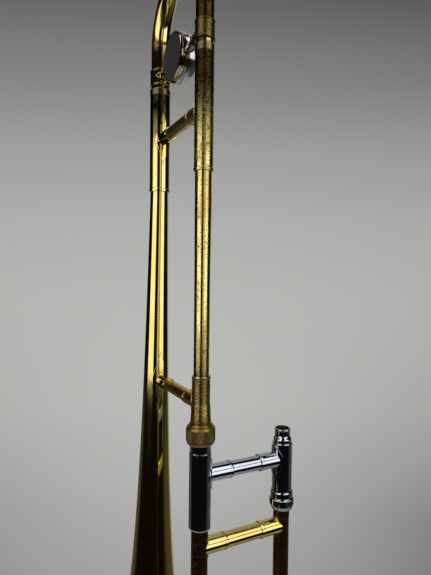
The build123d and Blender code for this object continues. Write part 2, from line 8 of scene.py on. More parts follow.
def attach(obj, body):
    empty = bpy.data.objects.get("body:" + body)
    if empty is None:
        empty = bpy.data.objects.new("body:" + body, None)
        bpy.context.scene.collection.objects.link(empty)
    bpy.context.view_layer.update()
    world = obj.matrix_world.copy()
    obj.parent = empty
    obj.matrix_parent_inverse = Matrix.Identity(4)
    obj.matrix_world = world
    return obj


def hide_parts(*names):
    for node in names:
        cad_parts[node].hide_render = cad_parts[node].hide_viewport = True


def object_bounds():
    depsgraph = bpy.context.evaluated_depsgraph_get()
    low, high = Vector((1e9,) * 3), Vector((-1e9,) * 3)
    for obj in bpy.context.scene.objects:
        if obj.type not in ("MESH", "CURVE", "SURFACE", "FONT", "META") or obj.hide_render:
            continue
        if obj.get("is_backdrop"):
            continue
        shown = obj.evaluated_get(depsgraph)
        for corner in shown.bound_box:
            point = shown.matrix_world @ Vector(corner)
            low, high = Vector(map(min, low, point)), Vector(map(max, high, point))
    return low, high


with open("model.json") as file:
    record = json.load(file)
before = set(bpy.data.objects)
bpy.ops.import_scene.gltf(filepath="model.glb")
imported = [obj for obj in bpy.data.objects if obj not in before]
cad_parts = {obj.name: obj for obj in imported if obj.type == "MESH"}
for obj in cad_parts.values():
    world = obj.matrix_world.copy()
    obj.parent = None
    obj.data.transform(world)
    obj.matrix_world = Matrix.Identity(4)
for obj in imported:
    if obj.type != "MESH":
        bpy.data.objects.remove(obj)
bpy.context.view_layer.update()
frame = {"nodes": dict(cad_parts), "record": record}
nodes = frame["nodes"]
print("frame loaded")

# the camera

cameraSpot = {"place": (-0.1562, -0.4292, 0.468), "yaw": 61.86, "pitch": -1.28, "roll": 0.66,
              "lens": 27.11, "sensor": 36.0}


def makeCamera(spot):
    data = bpy.data.cameras.new("camera")
    data.lens = spot["lens"]
    data.sensor_width = spot["sensor"]
    data.clip_start = 0.01
    cam = bpy.data.objects.new("camera", data)
    turn = Matrix.Rotation(math.radians(spot["yaw"] - 90), 4, "Z")
    tip = Matrix.Rotation(math.radians(90 + spot["pitch"]), 4, "X")
    lean = Matrix.Rotation(math.radians(spot["roll"]), 4, "Z")
    cam.matrix_world = Matrix.Translation(spot["place"]) @ turn @ tip @ lean
    bpy.context.scene.collection.objects.link(cam)
    bpy.context.scene.camera = cam


makeCamera(cameraSpot)

# the studio: a grey paper behind everything, seen only by camera rays, with its darkening upwards and to the
# sides painted into its brightness; two tall soft boxes and a pair above them

studio = {
    "paperStops": [(-40, 0.33), (-33.5, 0.38), (-25.3, 0.446), (-15.9, 0.49), (-2.9, 0.476), (7.6, 0.43),
                   (16.3, 0.348), (22.1, 0.263), (26.4, 0.212), (29.4, 0.169), (31.5, 0.141), (40, 0.08)],
    "paperMiddle": 61.9, "paperTint": (1.0, 1.01, 0.972),
    # painted shade on the paper: how it darkens sideways at middle height, and how much more above and below
    "paperFall": (0.045, 0.24), "paperSlant": (0.025, 0.08),
    "paperSpread": 25.0, "paperLevel": 3.0, "paperReach": 30.0, "paperLeast": 0.5,
    # glow from behind and from below: from, to, softness at each side, level
    "behind": (208, 268, 14, 8, 0.38), "under": (170, 300, 50, 40, 0.075),
    "underTop": -22.0, "underSoft": 16.0, "dark": 0.004,
    "boxes": [
        # from, to in compass degrees, bottom and top in degrees, strength, softness of the sides
        (168, 219, -9, 18, 1.5, 3), (276, 314, -9, 18, 1.5, 3), (254, 277, -8, 16, 0.7, 4),
        (168, 222, 33, 75, 1.5, 5), (268, 318, 30, 75, 1.5, 5)],
    "floorRadius": 0.78, "floorDrop": 0.012, "floorSpot": (0.03, -0.05), "floorSides": 96,
    "floorColour": (0.6, 0.6, 0.59, 1), "floorRough": 0.9}


def addNode(tree, kind, inputs=(), **settings):
    node = tree.nodes.new(kind)
    for key, value in settings.items():
        setattr(node, key, value)
    for key, value in dict(inputs).items():
        socket = node.inputs[key]
        if isinstance(value, bpy.types.NodeSocket):
            tree.links.new(value, socket)
        else:
            socket.default_value = value
    return node


def mathNode(tree, operation, first, second=0.0, third=0.0, clamp=False):
    return addNode(tree, "ShaderNodeMath", {0: first, 1: second, 2: third}, operation=operation,
                   use_clamp=clamp).outputs[0]


def smoothWindow(tree, value, low, high, soft, softHigh=None):
    # 1 between low and high, falling to 0 over soft
    rise = addNode(tree, "ShaderNodeMapRange", {0: value, 1: low - soft, 2: low},
                   interpolation_type="SMOOTHSTEP")
    fall = addNode(tree, "ShaderNodeMapRange",
                   {0: value, 1: high, 2: high + (softHigh or soft), 3: 1.0, 4: 0.0},
                   interpolation_type="SMOOTHSTEP")
    return mathNode(tree, "MULTIPLY", rise.outputs[0], fall.outputs[0])


def makeStudio(spec):
    world = bpy.data.worlds.new("studio")
    world.use_nodes = True
    bpy.context.scene.world = world
    tree = world.node_tree
    tree.nodes.clear()
    look = addNode(tree, "ShaderNodeTexCoord").outputs["Generated"]
    parts = addNode(tree, "ShaderNodeSeparateXYZ", {0: look}).outputs
    compass = mathNode(tree, "MULTIPLY", mathNode(tree, "ARCTAN2", parts[1], parts[0]), 180 / math.pi)
    compass = mathNode(tree, "MODULO", mathNode(tree, "ADD", compass, 360.0), 360.0)
    height = mathNode(tree, "MULTIPLY", mathNode(tree, "ARCSINE", parts[2]), 180 / math.pi)
    glow = None
    for left, right, bottom, top, strength, soft in spec["boxes"]:
        sides = smoothWindow(tree, compass, left, right, soft)
        ends = smoothWindow(tree, height, bottom, top, soft)
        box = mathNode(tree, "MULTIPLY", mathNode(tree, "MULTIPLY", sides, ends), strength)
        glow = box if glow is None else mathNode(tree, "MAXIMUM", glow, box)
    # the paper's brightness by height is painted light and shade, not light from the boxes
    stops = spec["paperStops"]
    low, high = stops[0][0], stops[-1][0]
    place = addNode(tree, "ShaderNodeMapRange", {0: height, 1: low, 2: high})
    ramp = addNode(tree, "ShaderNodeValToRGB", {0: place.outputs[0]})
    ramp.color_ramp.interpolation = "LINEAR"
    marks = ramp.color_ramp.elements
    for angle, _ in stops[1:-1]:
        marks.new((angle - low) / (high - low))
    for index, (angle, value) in enumerate(stops):
        marks[index].color = (*[value * part for part in spec["paperTint"]], 1)
    away = mathNode(tree, "DIVIDE", mathNode(tree, "SUBTRACT", compass, spec["paperMiddle"]),
                    spec["paperSpread"])
    off = mathNode(tree, "DIVIDE", mathNode(tree, "SUBTRACT", height, spec["paperLevel"]),
                   spec["paperReach"])
    off = mathNode(tree, "MINIMUM", mathNode(tree, "MULTIPLY", off, off), 1.0)
    bend = mathNode(tree, "MULTIPLY_ADD", off, spec["paperFall"][1], spec["paperFall"][0])
    bend = mathNode(tree, "MULTIPLY", bend, mathNode(tree, "MULTIPLY", away, away))
    slant = mathNode(tree, "MULTIPLY_ADD", off, spec["paperSlant"][1], spec["paperSlant"][0])
    slant = mathNode(tree, "MULTIPLY", slant, away)
    fade = mathNode(tree, "SUBTRACT", mathNode(tree, "ADD", 1.0, slant), bend)
    fade = mathNode(tree, "MAXIMUM", fade, spec["paperLeast"])
    paper = addNode(tree, "ShaderNodeBackground", {0: ramp.outputs[0], 1: fade})
    turned = mathNode(tree, "MODULO", mathNode(tree, "ADD", compass, 180.0), 360.0)
    left, right, soft, softHigh, level = spec["behind"]
    behind = mathNode(tree, "MULTIPLY", smoothWindow(tree, turned, left, right, soft, softHigh), level)
    left, right, soft, softHigh, level = spec["under"]
    under = mathNode(tree, "MULTIPLY", smoothWindow(tree, turned, left, right, soft, softHigh), level)
    under = mathNode(tree, "MULTIPLY", under,
                     smoothWindow(tree, height, -90.0, spec["underTop"], spec["underSoft"]))
    glow = mathNode(tree, "MAXIMUM", glow, mathNode(tree, "MAXIMUM", behind, under))
    glow = mathNode(tree, "MAXIMUM", glow, spec["dark"])
    lamps = addNode(tree, "ShaderNodeBackground", {0: (1, 1, 1, 1), 1: glow})
    rays = addNode(tree, "ShaderNodeLightPath")
    mix = addNode(tree, "ShaderNodeMixShader", {0: rays.outputs["Is Camera Ray"], 1: lamps.outputs[0],
                                                2: paper.outputs[0]})
    out = addNode(tree, "ShaderNodeOutputWorld")
    tree.links.new(mix.outputs[0], out.inputs[0])


makeStudio(studio)
bpy.context.scene.view_settings.view_transform = "Standard"


def makeFloor(spec):
    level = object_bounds()[0].z - spec["floorDrop"]
    shape = bmesh.new()
    bmesh.ops.create_circle(shape, cap_ends=True, segments=spec["floorSides"], radius=spec["floorRadius"],
                            matrix=Matrix.Translation((*spec["floorSpot"], level)))
    mesh = bpy.data.meshes.new("floor")
    shape.to_mesh(mesh)
    shape.free()
    floor = bpy.data.objects.new("floor", mesh)
    bpy.context.scene.collection.objects.link(floor)
    mat = bpy.data.materials.new("paleFloor")
    mat.use_nodes = True
    shader = mat.node_tree.nodes["Principled BSDF"]
    shader.inputs["Base Color"].default_value = spec["floorColour"]
    shader.inputs["Roughness"].default_value = spec["floorRough"]
    mesh.materials.append(mat)
    floor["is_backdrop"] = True


makeFloor(studio)
print("studio ready")

# the materials


def newMetal(name, colour, roughness, metallic=1.0):
    mat = bpy.data.materials.new(name)
    mat.use_nodes = True
    tree = mat.node_tree
    shader = tree.nodes["Principled BSDF"]
    shader.inputs["Base Color"].default_value = (*colour, 1)
    shader.inputs["Metallic"].default_value = metallic
    shader.inputs["Roughness"].default_value = roughness
    place = addNode(tree, "ShaderNodeTexCoord").outputs["Object"]
    return mat, tree, shader, place


def cloud(tree, place, scale, detail=3.0, low=0.35, high=0.65, stretch=None):
    # a noise pattern pulled out to run from 0 to 1
    if stretch:
        place = addNode(tree, "ShaderNodeMapping", {0: place, 3: stretch}).outputs[0]
    noise = addNode(tree, "ShaderNodeTexNoise", {"Vector": place, "Scale": scale, "Detail": detail})
    return addNode(tree, "ShaderNodeMapRange", {0: noise.outputs[0], 1: low, 2: high}).outputs[0]


def blendColour(tree, share, first, second):
    mix = addNode(tree, "ShaderNodeMix", data_type="RGBA")
    tree.links.new(share, mix.inputs[0])
    for socket, value in ((mix.inputs[6], first), (mix.inputs[7], second)):
        if isinstance(value, bpy.types.NodeSocket):
            tree.links.new(value, socket)
        else:
            socket.default_value = (*value, 1)
    return mix.outputs[2]


def roughen(tree, shader, share, smooth, rough):
    spread = addNode(tree, "ShaderNodeMapRange", {0: share, 3: smooth, 4: rough})
    tree.links.new(spread.outputs[0], shader.inputs["Roughness"])


def raiseSurface(tree, shader, height, distance):
    bump = addNode(tree, "ShaderNodeBump", {"Height": height, "Distance": distance, "Strength": 1.0})
    tree.links.new(bump.outputs[0], shader.inputs["Normal"])


def polishedMetal(name, look):
    # lacquered or plated metal: soft clouds of tint, smears in the gloss and a few tiny marks
    mat, tree, shader, place = newMetal(name, look["colour"], look["rough"])
    clouds = cloud(tree, place, 38, 4)
    smears = cloud(tree, place, 90, 3, stretch=(1, 1, 0.25))
    marks = cloud(tree, place, 1500, 2, 0.70, 0.76)
    tint = blendColour(tree, clouds, look["colour"], look["deep"])
    tree.links.new(blendColour(tree, marks, tint, look["mark"]), shader.inputs["Base Color"])
    roughen(tree, shader, smears, look["rough"], look["smear"])
    raiseSurface(tree, shader, clouds, look["wave"])
    return mat


def wearAndShadeMetal(name, look):
    # bare or worn brass: brown patches, black pits of two sizes and streaks along the tube, and for
    # shaded_brass a painted shade over the top of the tube
    mat, tree, shader, place = newMetal(name, look["colour"], look["rough"])
    patches = cloud(tree, place, look["patchSize"], 5, 0.40, 0.62, look.get("stretch"))
    fine = cloud(tree, place, look["pitSize"], 2, look["pitLow"], look["pitLow"] + 0.05)
    coarse = cloud(tree, place, look["pitSize"] * 0.45, 3, look["pitLow"] + 0.01, look["pitLow"] + 0.07)
    pits = mathNode(tree, "MAXIMUM", fine, coarse)
    if "wearAndShadeAlong" in look:
        # darker the higher it is on the tube (along y for the bow): worn lacquer on the neck leg and the bow,
        # painted shade on the bell-side receiver above the upper brace
        axis, clean, dark, leftOver = look["wearAndShadeAlong"]
        parts = addNode(tree, "ShaderNodeSeparateXYZ", {0: place}).outputs
        rise = addNode(tree, "ShaderNodeMapRange", {0: parts[axis], 1: clean, 2: dark})
        spread = mathNode(tree, "ADD", rise.outputs[0],
                          mathNode(tree, "MULTIPLY", patches, leftOver), clamp=True)
        wearAndShadeColour = blendColour(tree, spread, look["colour"], look["patch"])
        pits = mathNode(tree, "MULTIPLY", pits, mathNode(tree, "ADD", leftOver, spread), clamp=True)
    else:
        wearAndShadeColour = blendColour(tree, patches, look["colour"], look["patch"])
    tree.links.new(blendColour(tree, pits, wearAndShadeColour, look["pit"]), shader.inputs["Base Color"])
    roughen(tree, shader, mathNode(tree, "MAXIMUM", pits, mathNode(tree, "MULTIPLY", patches, 0.4)),
            look["rough"], look["pitRough"])
    raiseSurface(tree, shader, mathNode(tree, "SUBTRACT", 1.0, pits), look["depth"])
    return mat


def grainedStuff(name, look):
    # cork, rubber and the matt face of the weight: grain of two sizes over a dull ground
    mat, tree, shader, place = newMetal(name, look["colour"], look["rough"], look["metallic"])
    grain = cloud(tree, place, look["grain"], 4, 0.3, 0.7)
    specks = cloud(tree, place, look["grain"] * 2.7, 2, 0.56, 0.66)
    tint = blendColour(tree, grain, look["colour"], look["deep"])
    tree.links.new(blendColour(tree, specks, tint, look["speck"]), shader.inputs["Base Color"])
    roughen(tree, shader, grain, look["rough"], look["rough"] + 0.12)
    raiseSurface(tree, shader, grain, look["depth"])
    return mat


finishes = {
    "polished_brass": polishedMetal("lacqueredBrass", {
        "colour": (0.80, 0.64, 0.20), "deep": (0.72, 0.55, 0.15), "mark": (0.35, 0.24, 0.07),
        "rough": 0.055, "smear": 0.10, "wave": 0.00002}),
    # painted shade: the bell-side receiver turns dark above the upper brace, standing in for the dark
    # surroundings it mirrors there; its patch colour is that shade
    "shaded_brass": wearAndShadeMetal("paintedShadeBrass", {
        "colour": (0.80, 0.64, 0.20), "patch": (0.20, 0.17, 0.05), "pit": (0.12, 0.08, 0.02),
        "rough": 0.055, "pitRough": 0.3, "patchSize": 90, "pitSize": 1200, "pitLow": 0.72,
        "depth": 0.00001, "wearAndShadeAlong": (2, 0.594, 0.614, 0.0)}),
    "satin_brass": wearAndShadeMetal("satinBrass", {
        "colour": (0.64, 0.51, 0.22), "patch": (0.50, 0.38, 0.15), "pit": (0.20, 0.13, 0.05),
        "rough": 0.32, "pitRough": 0.5, "patchSize": 120, "pitSize": 1300, "pitLow": 0.66,
        "depth": 0.00003}),
    "aged_brass": wearAndShadeMetal("speckledBrass", {
        "colour": (0.82, 0.68, 0.24), "patch": (0.60, 0.43, 0.13), "pit": (0.08, 0.05, 0.014),
        "rough": 0.10, "pitRough": 0.5, "patchSize": 110, "pitSize": 950, "pitLow": 0.63,
        "depth": 0.00005, "stretch": (1, 1, 0.3)}),
    "pitted_brass": wearAndShadeMetal("pittedBrass", {
        "colour": (0.80, 0.66, 0.22), "patch": (0.075, 0.048, 0.015), "pit": (0.02, 0.013, 0.004),
        "rough": 0.12, "pitRough": 0.6, "patchSize": 90, "pitSize": 850, "pitLow": 0.56,
        "depth": 0.00008, "wearAndShadeAlong": (2, 0.585, 0.635, 0.3)}),
    "bow_brass": wearAndShadeMetal("bowBrass", {
        "colour": (0.80, 0.64, 0.20), "patch": (0.06, 0.036, 0.012), "pit": (0.02, 0.012, 0.004),
        "rough": 0.055, "pitRough": 0.5, "patchSize": 60, "pitSize": 800, "pitLow": 0.57,
        "depth": 0.00004, "wearAndShadeAlong": (1, -0.082, -0.098, 0.0)}),
    "brown_brass": wearAndShadeMetal("brownBrass", {
        "colour": (0.26, 0.19, 0.06), "patch": (0.15, 0.10, 0.03), "pit": (0.03, 0.018, 0.006),
        "rough": 0.22, "pitRough": 0.5, "patchSize": 130, "pitSize": 1000, "pitLow": 0.58,
        "depth": 0.00004}),
    "olive_brass": wearAndShadeMetal("oliveBrass", {
        "colour": (0.40, 0.33, 0.12), "patch": (0.30, 0.23, 0.08), "pit": (0.10, 0.07, 0.02),
        "rough": 0.2, "pitRough": 0.4, "patchSize": 140, "pitSize": 1200, "pitLow": 0.68,
        "depth": 0.00002}),
    "golden_brass": wearAndShadeMetal("goldenBrass", {
        "colour": (0.76, 0.54, 0.16), "patch": (0.56, 0.36, 0.10), "pit": (0.16, 0.09, 0.03),
        "rough": 0.24, "pitRough": 0.45, "patchSize": 130, "pitSize": 1100, "pitLow": 0.65,
        "depth": 0.00003}),
    "receiver_brass": wearAndShadeMetal("receiverBrass", {
        "colour": (0.70, 0.52, 0.16), "patch": (0.40, 0.23, 0.06), "pit": (0.08, 0.045, 0.012),
        "rough": 0.15, "pitRough": 0.45, "patchSize": 150, "pitSize": 900, "pitLow": 0.60,
        "depth": 0.00005}),
    "dull_brass": wearAndShadeMetal("knurledBrass", {
        "colour": (0.50, 0.34, 0.10), "patch": (0.30, 0.19, 0.06), "pit": (0.08, 0.05, 0.02),
        "rough": 0.30, "pitRough": 0.6, "patchSize": 150, "pitSize": 1200, "pitLow": 0.62,
        "depth": 0.00004}),
    "tarnished_brass": wearAndShadeMetal("tarnishedBrass", {
        "colour": (0.19, 0.10, 0.026), "patch": (0.07, 0.036, 0.011), "pit": (0.015, 0.009, 0.003),
        "rough": 0.22, "pitRough": 0.5, "patchSize": 80, "pitSize": 800, "pitLow": 0.60,
        "depth": 0.00005, "stretch": (1, 1, 0.15)}),
    "chrome": polishedMetal("chromePlate", {
        "colour": (0.60, 0.62, 0.68), "deep": (0.52, 0.55, 0.63), "mark": (0.25, 0.26, 0.30),
        "rough": 0.045, "smear": 0.09, "wave": 0.00001}),
    "nickel": polishedMetal("nickelPlate", {
        "colour": (0.66, 0.66, 0.64), "deep": (0.55, 0.54, 0.51), "mark": (0.22, 0.20, 0.16),
        "rough": 0.10, "smear": 0.18, "wave": 0.00003}),
    "matt_face": grainedStuff("mattFace", {
        "colour": (0.115, 0.115, 0.118), "deep": (0.09, 0.09, 0.093), "speck": (0.15, 0.15, 0.155),
        "rough": 0.5, "metallic": 0.6, "grain": 1400, "depth": 0.00001}),
    "steel": polishedMetal("plainSteel", {
        "colour": (0.50, 0.50, 0.50), "deep": (0.42, 0.42, 0.41), "mark": (0.2, 0.18, 0.15),
        "rough": 0.22, "smear": 0.32, "wave": 0.00002}),
    "cork": grainedStuff("corkRing", {
        "colour": (0.46, 0.30, 0.16), "deep": (0.33, 0.20, 0.10), "speck": (0.12, 0.07, 0.03),
        "rough": 0.85, "metallic": 0.0, "grain": 700, "depth": 0.0002}),
    "rubber": grainedStuff("blackRubber", {
        "colour": (0.022, 0.022, 0.023), "deep": (0.03, 0.03, 0.03), "speck": (0.05, 0.05, 0.048),
        "rough": 0.62, "metallic": 0.0, "grain": 1100, "depth": 0.00006})}

bodyOf = {}
for bodyName, members in frame["record"]["behaviour"]["bodies"].items():
    for member in members:
        bodyOf[member] = bodyName
slotOf = {row["node"]: row["material_slot"] for row in frame["record"]["subparts"]}
for node, obj in nodes.items():
    obj.data.materials.clear()
    obj.data.materials.append(finishes[slotOf[node]])
print("materials ready")

# the axes that the pieces stand on, in millimetres

gap = 0.02      # between soldered pieces
axes = {"bell": (4.4, -3.4), "neck": (4.4, -105.4), "swing": -1.7, "spacing": 83.4, "stemMeets": 565.0}
swing = math.radians(axes["swing"])
across = Vector((math.cos(swing), math.sin(swing), 0))
front = Vector((math.sin(swing), -math.cos(swing), 0))
bellAxis = Vector((*axes["bell"], 0))
neckAxis = Vector((*axes["neck"], 0))
mouthAxis = neckAxis + across * axes["spacing"]
up = Vector((0, 0, 1))


def standing(foot):
    return Matrix.Translation(foot / 1000)


def pointing(start, direction, side=None):
    # local Z runs along direction from start, local X along side
    direction = direction.normalized()
    side = side.normalized() if side else (up if abs(direction.z) < 0.9 else Vector((1, 0, 0)))
    other = direction.cross(side).normalized()
    side = other.cross(direction)
    turn = Matrix((side, other, direction)).transposed().to_4x4()
    return Matrix.Translation(start / 1000) @ turn


sharpAngle = math.radians(28)      # edges sharper than this are rounded


def finishPiece(name, shape, node, finish, place=None, corner=0.0, also=(), crease=9):
    # round the sharp edges, put the shape in place, and hand it over as the visible form of its node
    if corner:
        edges = [e for e in shape.edges if e.is_manifold and e.calc_face_angle(0) > sharpAngle]
        bmesh.ops.bevel(shape, geom=edges, offset=corner / 1000, segments=2, profile=0.5, affect="EDGES",
                        clamp_overlap=True, material=-1)
    if place is not None:
        bmesh.ops.transform(shape, matrix=place, verts=shape.verts)
    bmesh.ops.remove_doubles(shape, verts=shape.verts, dist=0.0000005)
    bmesh.ops.recalc_face_normals(shape, faces=shape.faces)
    for face in shape.faces:
        face.smooth = True
    for edge in shape.edges:
        edge.smooth = not (edge.is_manifold and edge.calc_face_angle(0) > math.radians(crease))
    mesh = bpy.data.meshes.new(name)
    shape.to_mesh(mesh)
    shape.free()
    piece = bpy.data.objects.new(name, mesh)
    bpy.context.scene.collection.objects.link(piece)
    mesh.materials.append(finishes[finish])
    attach(piece, bodyOf[node])
    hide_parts(node, *also)
    return piece


def spun(outline, steps=96, closed=True):
    # an outline of (radius, height) corners turned about local Z
    shape = bmesh.new()
    points = [shape.verts.new((radius / 1000, 0, height / 1000)) for radius, height in outline]
    lines = [shape.edges.new(pair) for pair in zip(points, points[1:])]
    if closed:
        lines.append(shape.edges.new((points[-1], points[0])))
    bmesh.ops.spin(shape, geom=points + lines, cent=(0, 0, 0), axis=(0, 0, 1), dvec=(0, 0, 0),
                   angle=2 * math.pi, steps=steps, use_merge=True)
    bmesh.ops.remove_doubles(shape, verts=shape.verts, dist=0.000001)
    bmesh.ops.recalc_face_normals(shape, faces=shape.faces)
    return shape


def spunPiece(node, foot, outline, finish=None, corner=0.12, steps=96, place=None):
    return finishPiece(node + "_piece", spun(outline, steps), node, finish or slotOf[node],
                       place or standing(foot), corner)


# the bell

bellShape = {"base": 88.0, "length": 32.0, "power": 0.746, "taper": 0.0015, "sheet": 0.5, "top": 572.0,
             "rim": 88.9, "bead": 1.8, "rows": 90, "steps": 160, "start": 3.2, "crowding": 2.2,
             "thickBelow": 60, "thickening": 1.35, "rollFrom": 215, "rollTurn": 270, "rollSteps": 14}


def bellRadius(height):
    return (bellShape["base"] * (1 + height / bellShape["length"]) ** -bellShape["power"]
            - bellShape["taper"] * height)


bellLean = Vector((*axes["bell"], axes["stemMeets"]))


def makeBell(spec):
    # heights crowd towards the rim, where the outline turns fastest
    start, rows = spec["start"], spec["rows"]
    heights = [start + (spec["top"] - start) * (index / rows) ** spec["crowding"] for index in range(rows + 1)]
    outside = [(bellRadius(height), height) for height in heights]
    inside = [(radius - spec["sheet"] * (1.0 if height > spec["thickBelow"] else spec["thickening"]),
               height) for radius, height in reversed(outside)]
    middle = (spec["rim"] - spec["bead"], spec["bead"])
    roll = []
    for index in range(spec["rollSteps"] + 1):
        angle = math.radians(spec["rollFrom"] + index * spec["rollTurn"] / spec["rollSteps"])
        roll.append((middle[0] + spec["bead"] * math.cos(angle), middle[1] + spec["bead"] * math.sin(angle)))
    outline = inside + roll + outside
    shape = spun(outline, spec["steps"])
    return finishPiece("bell_piece", shape, "bell", "polished_brass",
                       pointing(Vector((0, 0, 0)), bellLean, Vector((1, 0, 0))), also=("bell_stem",),
                       crease=60)


makeBell(bellShape)
print("bell ready")

# the tuning receivers, the gooseneck and the slide receiver

legs = {"bottom": 555.7, "stop": 575.0, "top": 659.6, "bell": 10.3, "neck": 8.1, "bellFitted": 9.35,
        "neckFitted": 7.17, "ferruleBottom": 662.7, "ferruleTop": 678.8, "ferruleBell": 10.4,
        "ferruleNeck": 8.45, "innerStep": 0.56, "step": 670.6, "bowFoot": 670.8, "bow": 702.0,
        "bellBow": 9.5, "neckBow": 7.87, "sheet": 0.5}


def makeReceiver(node, band, foot, outside, fitted, finish, bandFinish):
    low, high = legs["bottom"], legs["top"]
    bore = outside - legs["sheet"]
    spunPiece(node, foot, [
        (fitted, low), (outside + 0.35, low), (outside + 0.4, low + 1.3), (outside + 0.35, low + 2.6),
        (outside, low + 3.1), (outside, high - 0.8), (bore, high - 0.8), (bore, legs["stop"]),
        (fitted, legs["stop"])], finish)
    spunPiece(band, foot, [
        (outside + gap, high - 6.5), (outside + 0.25, high - 6.5), (outside + 0.3, high - 0.6),
        (outside, high), (bore + gap, high), (bore + gap, high - 0.75), (outside + gap, high - 0.75)],
        bandFinish)


# the bell-side receiver gets shaded_brass, whose darker top is painted shade
makeReceiver("bell_tuning_receiver", "bell_receiver_band", bellAxis, legs["bell"], legs["bellFitted"],
             "shaded_brass", "olive_brass")
makeReceiver("neck_tuning_receiver", "neck_receiver_band", neckAxis, legs["neck"], legs["neckFitted"],
             "pitted_brass", "olive_brass")
neckOuter = [(6.65, 372.8), (6.65, 424), (6.70, 449), (6.75, 466), (6.80, 483), (6.96, 499), (7.09, 516),
             (7.15, 532), (7.15, bellShape["top"])]
neckInner = [(radius - legs["sheet"], height) for radius, height in reversed(neckOuter)]
spunPiece("gooseneck", neckAxis, neckOuter + neckInner, "aged_brass")
spunPiece("slide_receiver", neckAxis, [
    (6.67, 385.8), (7.95, 385.8), (8.05, 385.0), (7.95, 384.2), (7.75, 383.8), (7.75, 365), (8.0, 361),
    (8.35, 355), (8.7, 350), (8.8, 347), (8.8, 343), (10.3, 342.8), (10.3, 340.2), (7.85, 340), (7.03, 371.3),
    (6.67, 371.4)], "receiver_brass")


def makeKnurled(node, foot, outline, zones, teeth, depth, finish):
    # every second column of the knurled zones is pushed in; a zone is (bottom, top, least radius)
    shape = spun(outline, teeth * 2)
    turn = math.pi / teeth
    for vert in shape.verts:
        height = vert.co.z * 1000
        if any(low < height < high and vert.co.xy.length * 1000 > reach for low, high, reach in zones):
            if round(math.atan2(vert.co.y, vert.co.x) / turn) % 2:
                vert.co.xy *= 1 - depth / 1000 / vert.co.xy.length
    finishPiece(node + "_piece", shape, node, finish, standing(foot))


makeKnurled("lock_nut", neckAxis, [
    (8.95, 346), (9.7, 346), (10.0, 345.6), (10.0, 345.0), (9.8, 344.7), (9.85, 344.4), (10.6, 344.2),
    (11.2, 343.9), (11.9, 343.2), (12.1, 342.6), (12.1, 342.3), (12.3, 342.1), (12.36, 341.2),
    (12.36, 332.2), (12.1, 331.4), (11.9, 330.6), (11.3, 329.5), (10.8, 329), (10.5, 329), (10.5, 343.1),
    (8.95, 343.1)], zones=[(331.9, 341.9, 12.2)], teeth=72, depth=0.22, finish="dull_brass")
print("bell section ready")

# brace ends and brace tubes


def flangeSheet(kind, halfWidth, halfHeight, cells):
    # a square grid drawn out into a diamond or an oval
    shape = bmesh.new()
    bmesh.ops.create_grid(shape, x_segments=cells, y_segments=cells, size=1.0)
    for vert in shape.verts:
        x, y = vert.co.x, vert.co.y
        if kind == "diamond":
            vert.co.x, vert.co.y = (x + y) / 2, (x - y) / 2
        else:
            vert.co.x, vert.co.y = x * math.sqrt(1 - y * y / 2), y * math.sqrt(1 - x * x / 2)
        vert.co.x *= halfWidth
        vert.co.y *= halfHeight
    return shape


saddle = {"cells": 28, "thick": 0.8, "clear": 0.03, "edge": 0.45, "seat": 0.35, "wall": 0.8, "steps": 64}


def makeSaddle(node, start, direction, reach, radius, flange, legRadius, finish, ring=0.5, lean=None):
    # a thin flange that hugs a leg, with a socket tube that stands on it and ends in a ring
    kind, halfWidth, halfHeight = flange
    shape = flangeSheet(kind, halfWidth, halfHeight, saddle["cells"])
    thick, wall = saddle["thick"], saddle["wall"]
    side = direction.cross(up)
    for vert in shape.verts:
        along, rise = vert.co.x, vert.co.y
        leg = legRadius(start.z + rise) + thick
        drift = lean(start.z + rise) if lean else Vector((0, 0, 0))
        out = math.sqrt(max(leg * leg - along * along, 0.01))
        vert.co = (start + drift + direction * out + side * along + up * rise) / 1000
    bmesh.ops.recalc_face_normals(shape, faces=shape.faces)
    middle = max(shape.faces, key=lambda f: (f.calc_center_median() * 1000 - start).dot(direction))
    if middle.normal.dot(direction) < 0:
        bmesh.ops.reverse_faces(shape, faces=shape.faces)
    bmesh.ops.solidify(shape, geom=shape.faces, thickness=(thick - saddle["clear"]) / 1000)
    bmesh.ops.recalc_face_normals(shape, faces=shape.faces)
    rimEdges = [e for e in shape.edges if e.is_manifold and e.calc_face_angle(0) > math.radians(50)]
    bmesh.ops.bevel(shape, geom=rimEdges, offset=saddle["edge"] / 1000, segments=3, profile=0.5,
                    affect="EDGES", clamp_overlap=True, material=-1)
    stub = spun([(radius - wall, 0), (radius, 0), (radius, reach - 2.6), (radius + ring, reach - 2.2),
                 (radius + ring, reach - 0.6), (radius + ring * 0.4, reach), (radius - wall, reach)],
                saddle["steps"])
    for vert in stub.verts:
        # the inner end follows the leg, inside the flange's thickness
        if abs(vert.co.z) < 0.000001:
            leg = legRadius(start.z) + saddle["seat"]
            vert.co.z = math.sqrt(max(leg * leg - (vert.co.y * 1000) ** 2, 0.01)) / 1000
    bmesh.ops.transform(stub, matrix=pointing(start, direction), verts=stub.verts)
    holder = bpy.data.meshes.new("holder")
    stub.to_mesh(holder)
    stub.free()
    shape.from_mesh(holder)
    bpy.data.meshes.remove(holder)
    finishPiece(node + "_piece", shape, node, finish, crease=24)


rodWall = 1.2


def makeRod(node, start, direction, near, far, radius, finish):
    bore = radius - rodWall
    spunPiece(node, start, [(bore, near), (radius, near), (radius, far), (bore, far)],
              finish, steps=64, place=pointing(start, direction))


toNeck = Vector((0, -1, 0))
toBell = Vector((0, 1, 0))
braces = {"upper": 608.2, "lower": 362.0, "tuning": 671.0, "inner": 301.8, "outer": 240.0}


def onBell(height):
    return bellAxis + up * height


def onNeck(height):
    return neckAxis + up * height


def onMouth(height):
    return mouthAxis + up * height


def bellDrift(height):
    # sideways place of the leaning bell against the lower brace's start
    share = height / axes["stemMeets"]
    offX, offY = axes["bell"]
    return Vector((offX * share - offX, offY * (share - braces["lower"] / axes["stemMeets"]), 0))


